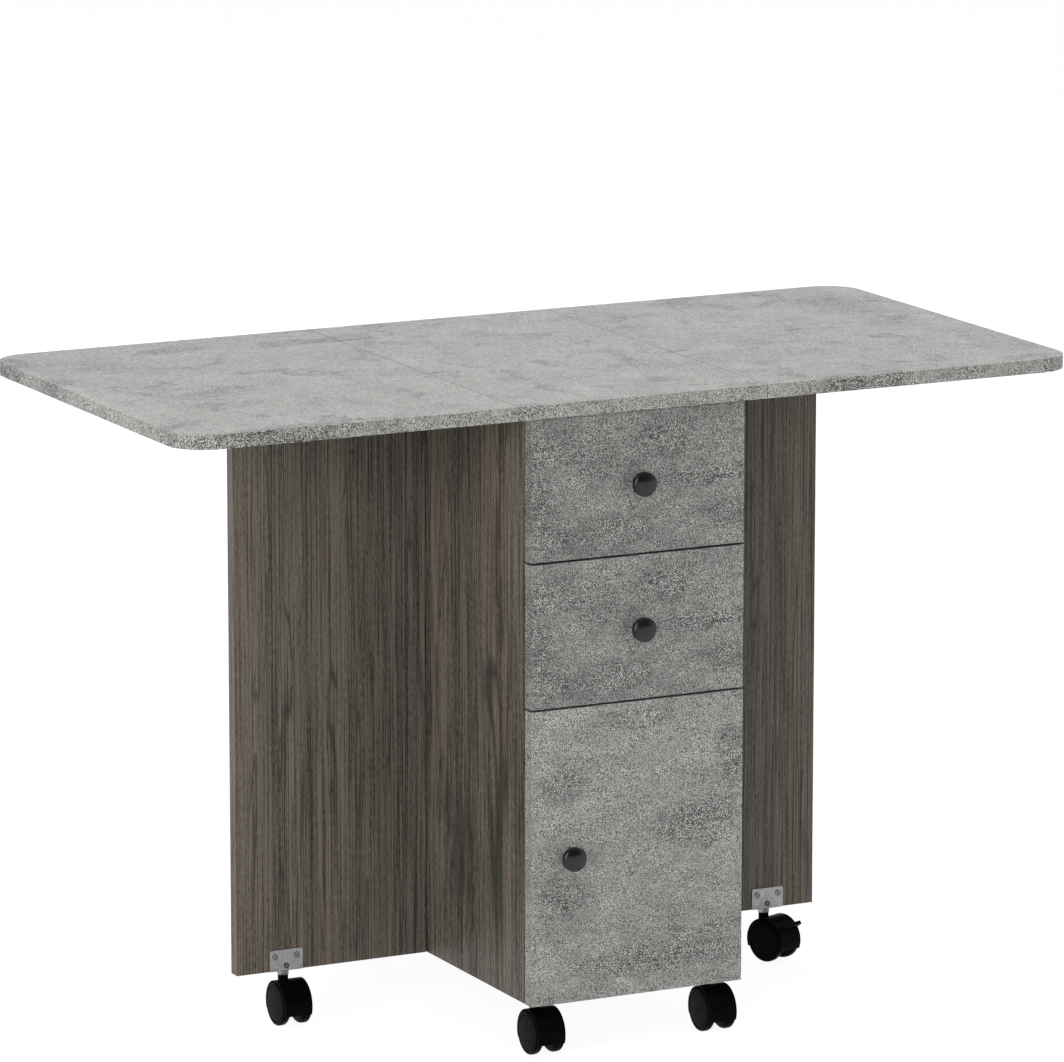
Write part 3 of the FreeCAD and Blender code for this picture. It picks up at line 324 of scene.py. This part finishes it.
# Dark wood-grain laminate with upright grain. A layer is (upright stretch, weight in the tone, noise).
WOOD_BROWN = ((0.0, (0.026, 0.020, 0.015)), (0.5, (0.090, 0.074, 0.058)), (1.0, (0.142, 0.119, 0.094)))
WOOD_GREY = ((0.0, (0.020, 0.019, 0.015)), (0.5, (0.075, 0.069, 0.057)), (1.0, (0.118, 0.109, 0.090)))
WOOD_TONE = 0.52
WOOD_LAYERS = {
    "bands": (0.008, 0.15, Noise(26.0, 4.0, 0.55, 0.3, low=0.32, high=0.68)),
    "stripes": (0.005, 0.08, Noise(130.0, 3.0, 0.6, 0.1)),
    "lines": (0.003, 0.38, Noise(760.0, 2.0, 0.8, low=0.37, high=0.63)),
    "threads": (0.012, 0.27, Noise(800.0, 2.0, 0.7, low=0.37, high=0.63)),
    "dashes": (0.15, 0.22, Noise(900.0, 1.0, 0.6, low=0.37, high=0.63)),
}
HUE = Noise(34.0, 3.0, 0.6, 0.2)
HUE_STRETCH = 0.016
HUE_OF_BANDS = 0.5
GREY_TO_BROWN = (-0.9, 0.6)
WOOD_ROUGH = (0.52, 0.42)
WOOD_GLOSS = 0.25
WOOD_RELIEF = 0.5
WOOD_BUMP = {"strength": 0.18, "distance": 0.0003}

# Dark veins follow a contour of a noise, here and there. A vein is (scale, half width, strength).
VEINS = ((24.0, 0.018, 0.75), (70.0, 0.040, 0.7))
VEIN_COLOUR = (0.017, 0.017, 0.015, 1)
VEIN_STRETCH = 0.05
VEIN_TWIST = 0.8
VEIN_CONTOUR = 0.48
VEIN_PATCH_STRETCH = 0.045
VEIN_PATCH_SCALE = 0.6
VEIN_PATCHES = Noise(1.0, 2.0, 0.6, low=0.48, high=0.60, to_low=0.0)


def wood(name, shift, depth_stretch):
    paint = Paint(name)

    def upright(stretch):
        return paint.place((1, depth_stretch, stretch), shift)

    layers = {}
    parts = []
    for layer, (stretch, weight, noise) in WOOD_LAYERS.items():
        layers[layer] = paint.layer(upright(stretch), noise)
        parts.append(paint.times(layers[layer], weight))
    tone = paint.total(*parts, WOOD_TONE)
    hue = paint.total(paint.times(layers["bands"], HUE_OF_BANDS), paint.layer(upright(HUE_STRETCH), HUE))
    brown = paint.span(hue, *GREY_TO_BROWN)
    colour = paint.mix(brown, paint.ramp(tone, WOOD_GREY), paint.ramp(tone, WOOD_BROWN))
    for scale, half_width, strength in VEINS:
        contour = paint.noise(upright(VEIN_STRETCH), Noise(scale, twist=VEIN_TWIST))
        ridge = paint.math("ABSOLUTE", paint.math("SUBTRACT", contour, VEIN_CONTOUR))
        patches = VEIN_PATCHES._replace(scale=scale * VEIN_PATCH_SCALE, to_high=strength)
        along = paint.layer(upright(VEIN_PATCH_STRETCH), patches)
        veins = paint.times(paint.span(ridge, 0.0, half_width, 1.0, 0.0, soft=True), along)
        colour = paint.mix(veins, colour, VEIN_COLOUR)
    relief = paint.total(*[paint.times(layers[layer], WOOD_RELIEF) for layer in ("lines", "threads")])
    paint.surface(
        Base_Color=colour,
        Roughness=paint.span(tone, 0.0, 1.0, *WOOD_ROUGH),
        Specular_IOR_Level=WOOD_GLOSS,
        Normal=paint.bump(relief, **WOOD_BUMP),
    )
    return paint


# Steel. A stop is (tone, share of the level). Rivets sit RIVET_DROP below their plates' upper edge.
STEEL_FLAKES = Noise(1100.0, 3.0, 0.6)
STEEL_CLOUDS = Noise(160.0, 3.0, 0.6)
STEEL_FLAKE_WEIGHT = 0.22
STEEL_CLOUD_WEIGHT = 0.16
STEEL_STOPS = ((0.0, 0.6), (0.5, 1.0), (1.0, 1.4))
STEEL_BLUE = 1.01
STEEL_ROUGH_TONES = (0.1, 0.9)
STEEL_ROUGH_SPREAD = 0.07
STEEL_BUMP = {"strength": 0.10, "distance": 0.0002}
RIVET_DROP = 0.0191
RIVET_RADIUS = 0.0034
RIVET_EDGE = 0.0002
# Painted shade of a hole around the rivet head: dark out to RIVET_RADIUS, half as dark in the middle
RIVET_SHADE_FADE = (0.0008, 0.0024)
RIVET_MIDDLE_SHADE = 0.5
RIVET_SHADE = (0.05, 0.048, 0.045, 1)


def steel(name, level, rough, rivet=None):
    """Plated steel with a fine mottled sheen, and painted shade of a hole around a rivet head at this
    place if there is one.
    """
    paint = Paint(name)
    here = paint.place()
    flakes = paint.noise(here, STEEL_FLAKES)
    tone = paint.total(
        paint.times(paint.mapped(flakes, STEEL_FLAKES), STEEL_FLAKE_WEIGHT),
        paint.times(paint.layer(here, STEEL_CLOUDS), STEEL_CLOUD_WEIGHT),
        MIDDLE_TONE,
    )
    stops = []
    for position, share in STEEL_STOPS:
        shade = level * share
        stops.append((position, (shade, shade, shade * STEEL_BLUE)))
    colour = paint.ramp(tone, stops)
    if rivet:
        # Painted shade of the hole around the rivet head, half as dark at the head's middle
        off = paint.vector("MULTIPLY", paint.vector("SUBTRACT", here, rivet), (1, 0, 1))
        distance = paint.length(off)
        shade_fade = paint.span(distance, *RIVET_SHADE_FADE, RIVET_MIDDLE_SHADE, 1.0, soft=True)
        shaded_disc = paint.span(distance, RIVET_RADIUS - RIVET_EDGE, RIVET_RADIUS, 1.0, 0.0)
        colour = paint.mix(paint.times(shade_fade, shaded_disc), colour, RIVET_SHADE)
    rough_ends = (rough + STEEL_ROUGH_SPREAD, rough - STEEL_ROUGH_SPREAD)
    paint.surface(
        Base_Color=colour,
        Metallic=1.0,
        Roughness=paint.span(tone, *STEEL_ROUGH_TONES, *rough_ends),
        Normal=paint.bump(flakes, **STEEL_BUMP),
    )
    return paint


# Black plastic, rubber and enamel. A stop is (wear, shares of the level).
BLACK_WEAR = Noise(90.0, 4.0, 0.6)
BLACK_STOPS = ((0.35, (0.8, 0.8, 0.82)), (0.7, (1.25, 1.25, 1.25)))
BLACK_GRAIN_ROUGH = 0.6
BLACK_ROUGH_WEAR = (0.3, 0.7)
BLACK_ROUGH_BELOW = 0.06
BLACK_ROUGH_ABOVE = 0.07
BLACK_BUMP_DISTANCE = 0.0002


def black(name, level, gloss, rough, grain_scale, grain_depth):
    """Black moulded plastic or enamel with a faint grain and slightly uneven gloss."""
    paint = Paint(name)
    here = paint.place()
    grain = paint.noise(here, Noise(grain_scale, rough=BLACK_GRAIN_ROUGH))
    wear = paint.noise(here, BLACK_WEAR)
    stops = [(position, [level * share for share in shares]) for position, shares in BLACK_STOPS]
    rough_ends = (rough - BLACK_ROUGH_BELOW, rough + BLACK_ROUGH_ABOVE)
    paint.surface(
        Base_Color=paint.ramp(wear, stops),
        Roughness=paint.span(wear, *BLACK_ROUGH_WEAR, *rough_ends),
        Specular_IOR_Level=gloss,
        Normal=paint.bump(grain, grain_depth, BLACK_BUMP_DISTANCE),
    )
    return paint


# Pale board
BOARD_SPECKLE = Noise(1.0, 3.0, 0.6)
BOARD_CLOUDS = Noise(30.0, 3.0)
BOARD_SPECKLE_WEIGHT = 0.28
BOARD_CLOUD_WEIGHT = 0.18
BOARD_ROUGH_SPREAD = 0.05
BOARD_BUMP = {"strength": 0.08, "distance": 0.0002}


def pale_board(name, low, high, speckle_scale, rough):
    """Pale melamine or painted board with a faint mottle between two colours."""
    paint = Paint(name)
    here = paint.place()
    speckle = paint.layer(here, BOARD_SPECKLE._replace(scale=speckle_scale))
    tone = paint.total(
        paint.times(speckle, BOARD_SPECKLE_WEIGHT),
        paint.times(paint.layer(here, BOARD_CLOUDS), BOARD_CLOUD_WEIGHT),
        MIDDLE_TONE,
    )
    paint.surface(
        Base_Color=paint.ramp(tone, [(0.0, low), (1.0, high)]),
        Roughness=paint.span(tone, 0.0, 1.0, rough + BOARD_ROUGH_SPREAD, rough - BOARD_ROUGH_SPREAD),
        Normal=paint.bump(speckle, **BOARD_BUMP),
    )
    return paint


# Beech
BEECH_GRAIN = Noise(420.0, 3.0, 0.6)
BEECH_GRAIN_STRETCH = (0.06, 1, 1)
BEECH_GRAIN_ENDS = (0.3, 0.7)
BEECH_COLOURS = ((0.50, 0.32, 0.18), (0.66, 0.46, 0.28))
BEECH_FLECKS = Noise(900.0, low=0.58, high=0.7, to_low=0.0)
BEECH_FLECK_STRETCH = (0.15, 1, 1)
BEECH_FLECK_SHARE = 0.5
BEECH_FLECK_COLOUR = (0.30, 0.17, 0.09, 1)
BEECH_ROUGH = (0.65, 0.55)
BEECH_BUMP = {"strength": 0.1, "distance": 0.0002}


def beech():
    """Bare beech with grain along X and short dark flecks."""
    paint = Paint("beech")
    grain = paint.noise(paint.place(BEECH_GRAIN_STRETCH), BEECH_GRAIN)
    flecks = paint.layer(paint.place(BEECH_FLECK_STRETCH), BEECH_FLECKS)
    colour = paint.ramp(grain, list(zip(BEECH_GRAIN_ENDS, BEECH_COLOURS)))
    paint.surface(
        Base_Color=paint.mix(paint.times(flecks, BEECH_FLECK_SHARE), colour, BEECH_FLECK_COLOUR),
        Roughness=paint.span(grain, *BEECH_GRAIN_ENDS, *BEECH_ROUGH),
        Normal=paint.bump(grain, **BEECH_BUMP),
    )
    return paint


# Smudges of the table top are (x, y, half length, half depth, strength). Those of a drawer front and
# of the door are (across, up, half width, half height, strength), from the board's middle.
TOP_SMUDGES = (
    (-0.46, -0.277, 0.100, 0.018, 1.0),
    (-0.14, -0.277, 0.022, 0.018, 1.0),
    (0.25, -0.277, 0.030, 0.018, 1.0),
    (0.32, -0.277, 0.020, 0.018, 0.9),
    # A negative strength paints light: a painted highlight that makes the top's left edge lighter
    (-0.558, 0.05, 0.020, 0.350, -0.9),
    (-0.558, 0.22, 0.030, 0.060, 1.5),
    (-0.558, 0.09, 0.030, 0.040, 1.5),
    (-0.47, 0.15, 0.050, 0.040, 0.6),
    (-0.42, -0.04, 0.060, 0.040, 0.6),
    (-0.35, 0.22, 0.050, 0.030, 0.5),
    (0.48, 0.14, 0.050, 0.080, 0.6),
    (0.50, 0.04, 0.030, 0.040, 0.5),
    (0.29, -0.03, 0.050, 0.040, 0.5),
)
DRAWER_SMUDGES = (
    (0.030, 0.050, 0.040, 0.028, 1.0),
    (-0.080, 0.050, 0.050, 0.022, 0.7),
    (-0.040, 0.020, 0.045, 0.014, 0.4),
    (0.092, 0.000, 0.070, 0.012, 1.2),
    (-0.100, -0.058, 0.036, 0.020, 0.8),
    (-0.030, -0.055, 0.050, 0.026, 1.1),
    (0.110, -0.040, 0.034, 0.018, 0.6),
    (-0.124, 0.000, 0.018, 0.090, 0.8),
)
DOOR_SMUDGES = (
    (0.0, 0.150, 0.055, 0.013, 0.8),
    (0.120, 0.095, 0.022, 0.045, 0.7),
    (0.075, 0.022, 0.065, 0.030, 1.1),
    (-0.095, 0.080, 0.046, 0.022, 0.5),
    (-0.095, -0.048, 0.040, 0.030, 1.0),
    (0.030, -0.130, 0.130, 0.020, 1.1),
    (0.080, -0.105, 0.060, 0.012, 0.8),
)
TOP_SMUDGE_HEIGHT = 0.742
TOP_SMUDGE_HALF = 0.05
ANY_DEPTH = 9.0
TOP_WANDER = (0.06, 0.03, 0.0)
FRONT_WANDER = (0.045, 0.0, 0.03)


def board_middle(node):
    low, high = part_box(node)
    return (low + high) / 2


def top_smudges():
    made = []
    for x, y, half_length, half_depth, strength in TOP_SMUDGES:
        made.append(((x, y, TOP_SMUDGE_HEIGHT), (half_length, half_depth, TOP_SMUDGE_HALF), strength))
    return made


def front_smudges(flat_smudges):
    made = []
    for across, up, half_width, half_height, strength in flat_smudges:
        made.append(((across, 0, up), (half_width, ANY_DEPTH, half_height), strength))
    return made


# Materials on the CAD nodes
# The top's upper face gets painted light from above, which makes it lighter than its edges
concrete_top = concrete(
    "concrete_top", (0, 0, 0), top_smudges(), TOP_WANDER,
    lift=0.08, wild=1.0, rough=0.40, gloss=0.3, painted_level_light=0.24, face_grain=0.24,
)
dress(concrete_top, "centre_top", "left_leaf", "right_leaf")
# The drawer fronts get lower lifts than the door: painted shade under the table top, most on the upper
# drawer. Their level top and bottom edges get painted shade, for the shade in the gaps between fronts.
for name, smudges, lift in (
    ("upper_drawer_front", DRAWER_SMUDGES, -0.095),
    ("lower_drawer_front", DRAWER_SMUDGES, -0.07),
    ("door_panel", DOOR_SMUDGES, 0.03),
):
    concrete_front = concrete(
        "concrete_" + name, -board_middle(name), front_smudges(smudges), FRONT_WANDER,
        lift=lift, wild=0.35, rough=0.5, gloss=0.5, painted_level_light=-0.25, face_grain=0.0,
    )
    dress(concrete_front, name)

dress(wood("wood_gates", shift=(0.31, 0.11, 0.05), depth_stretch=1.0), "left_gate", "right_gate")
dress(
    wood("wood_cabinet", shift=(0.0, 0.4, 0.0), depth_stretch=0.5),
    "left_side_panel", "right_side_panel", "bottom_panel", "back_panel", "divider_panel", "top_rails",
)

steel_nodes = ["cabinet_runners", "door_hinge_arms", "door_hinge_cups", "caster_sockets"]
steel_nodes += ["gate_hinge_fixed_leaves", "gate_hinge_pins"]
steel_nodes += ["leaf_hinge_fixed_leaves", "leaf_hinge_pins"]
screw_nodes = []
pale_nodes = []
bottom_nodes = []
knob_nodes = ["door_knob"]
plastic_nodes = ["right_gate_brake_lever"]
wheel_nodes = []
for level in ("upper", "lower"):
    start = level + "_drawer_"
    steel_nodes.append(start + "runners")
    bottom_nodes.append(start + "bottom")
    knob_nodes.append(start + "knob")
    pale_nodes += [start + "left_side", start + "right_side", start + "back"]
for side in ("left", "right"):
    steel_nodes += [side + "_leaf_hinge_leaves", side + "_gate_hinge_leaves"]
    bracket = side + "_gate_caster_bracket"
    rivet_place = (board_middle(bracket).x, 0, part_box(bracket)[1].z - RIVET_DROP)
    dress(steel(side + "_bracket_steel", level=0.34, rough=0.40, rivet=rivet_place), bracket)
    screw_nodes.append(side + "_gate_bracket_screws")
    plastic_nodes.append(side + "_gate_pad")
    for place in ("front_" + side, "rear_" + side, side + "_gate"):
        plastic_nodes.append(place + "_caster_frame")
        wheel_nodes.append(place + "_caster_wheels")

zinc_steel = steel("zinc_steel", level=0.42, rough=0.40)
# The screws are darker steel than the plates, which also stands in as painted shade in their slots and
# around their heads
screw_steel = steel("screw_steel", level=0.20, rough=0.22)
enamel = black(
    "black_enamel", level=0.004, gloss=0.45, rough=0.22, grain_scale=1500.0, grain_depth=0.05,
)
plastic = black(
    "black_plastic", level=0.0016, gloss=0.02, rough=0.34, grain_scale=2200.0, grain_depth=0.06,
)
rubber = black(
    "black_rubber", level=0.0022, gloss=0.02, rough=0.30, grain_scale=1800.0, grain_depth=0.06,
)
drawer_board = pale_board(
    "drawer_board", low=(0.50, 0.50, 0.48), high=(0.66, 0.66, 0.645), speckle_scale=500.0, rough=0.5,
)
hardboard = pale_board(
    "hardboard", low=(0.52, 0.50, 0.47), high=(0.64, 0.62, 0.59), speckle_scale=220.0, rough=0.6,
)
dress(zinc_steel, *steel_nodes)
dress(screw_steel, *screw_nodes)
dress(enamel, *knob_nodes)
dress(plastic, *plastic_nodes)
dress(rubber, *wheel_nodes)
dress(drawer_board, *pale_nodes)
dress(hardboard, *bottom_nodes)
dress(beech(), "dowels")


# Floor, light and camera
def floor():
    """A floor that glows white where it is seen or mirrored, and keeps a faint shadow."""
    half = FLOOR_HALF
    mesh = bpy.data.meshes.new("floor")
    corners = [(-half, -half, 0), (half, -half, 0), (half, half, 0), (-half, half, 0)]
    mesh.from_pydata(corners, [], [(0, 1, 2, 3)])
    plane = bpy.data.objects.new("floor", mesh)
    scene.collection.objects.link(plane)
    paint = Paint("floor")
    paint.surface(Base_Color=FLOOR_SHADE, Roughness=1.0, Specular_IOR_Level=0.0)
    plain = paint.shader.outputs["BSDF"]
    glow = paint.add("Emission", {"Color": WHITE, "Strength": FLOOR_GLOW}).outputs["Emission"]
    path = paint.add("LightPath", {}).outputs
    share = paint.times(paint.seen_or_mirrored(path), FLOOR_GLOW_SHARE)
    blend = paint.add("MixShader", {0: share, 1: plain, 2: glow})
    paint.feed(paint.tree.nodes["Material Output"].inputs["Surface"], blend.outputs["Shader"])
    mesh.materials.append(paint.material)


def world():
    """White for what is seen directly, white to dim for what is mirrored, and an even soft level else."""
    made = bpy.data.worlds.new("studio")
    made.use_nodes = True
    studio = Nodes(made.node_tree)
    studio.tree.nodes.clear()
    path = studio.add("LightPath", {}).outputs
    chosen = studio.seen_or_mirrored(path)

    yaw = math.radians(CAMERA_YAW)
    ahead = (math.sin(yaw), math.cos(yaw), 0)
    way = studio.add("TexCoord", {}).outputs["Generated"]
    depth = studio.add("VectorMath", {0: way, 1: ahead}, operation="DOT_PRODUCT").outputs["Value"]
    level = studio.span(depth, *MIRRORED_FADE, CAMERA_SIDE_LEVEL, 1.0, soft=True)
    level = studio.math("MAXIMUM", level, path["Is Camera Ray"])

    bright = studio.add("Background", {"Color": WHITE, "Strength": level}).outputs["Background"]
    soft = studio.add("Background", {"Color": WHITE, "Strength": SKY_LEVEL}).outputs["Background"]
    blend = studio.add("MixShader", {0: chosen, 1: soft, 2: bright})
    studio.add("OutputWorld", {"Surface": blend.outputs["Shader"]})
    scene.world = made


def softbox(name, place, size, power, shines_in=()):
    """A round soft lamp that lights the table or, with shines_in, a card that only these nodes mirror."""
    lamp = bpy.data.lights.new(name, "AREA")
    lamp.shape = "DISK"
    lamp.size = size
    lamp.energy = power
    thing = bpy.data.objects.new(name, lamp)
    thing.location = place
    way = Vector(LIGHT_TARGET) - Vector(place)
    thing.rotation_euler = way.to_track_quat("-Z", "Y").to_euler()
    thing.visible_glossy = bool(shines_in)
    thing.visible_diffuse = not shines_in
    if shines_in:
        receivers = bpy.data.collections.new(name)
        for node in shines_in:
            receivers.objects.link(nodes[node])
        thing.light_linking.receiver_collection = receivers
    scene.collection.objects.link(thing)


def camera():
    lens = bpy.data.cameras.new("camera")
    lens.lens = CAMERA_LENS
    lens.sensor_width = SENSOR_WIDTH
    thing = bpy.data.objects.new("camera", lens)
    thing.location = CAMERA_PLACE
    thing.rotation_euler = Euler((math.radians(90 - CAMERA_PITCH), 0, math.radians(-CAMERA_YAW)))
    scene.collection.objects.link(thing)
    scene.camera = thing


floor()
world()
softbox("key", **KEY)
softbox("fill", **FILL)
softbox("side", **SIDE)
softbox("overhead", **OVERHEAD)
softbox("rear", **REAR)
softbox("card", **CARD, shines_in=knob_nodes)
camera()
scene.view_settings.view_transform = "Standard"
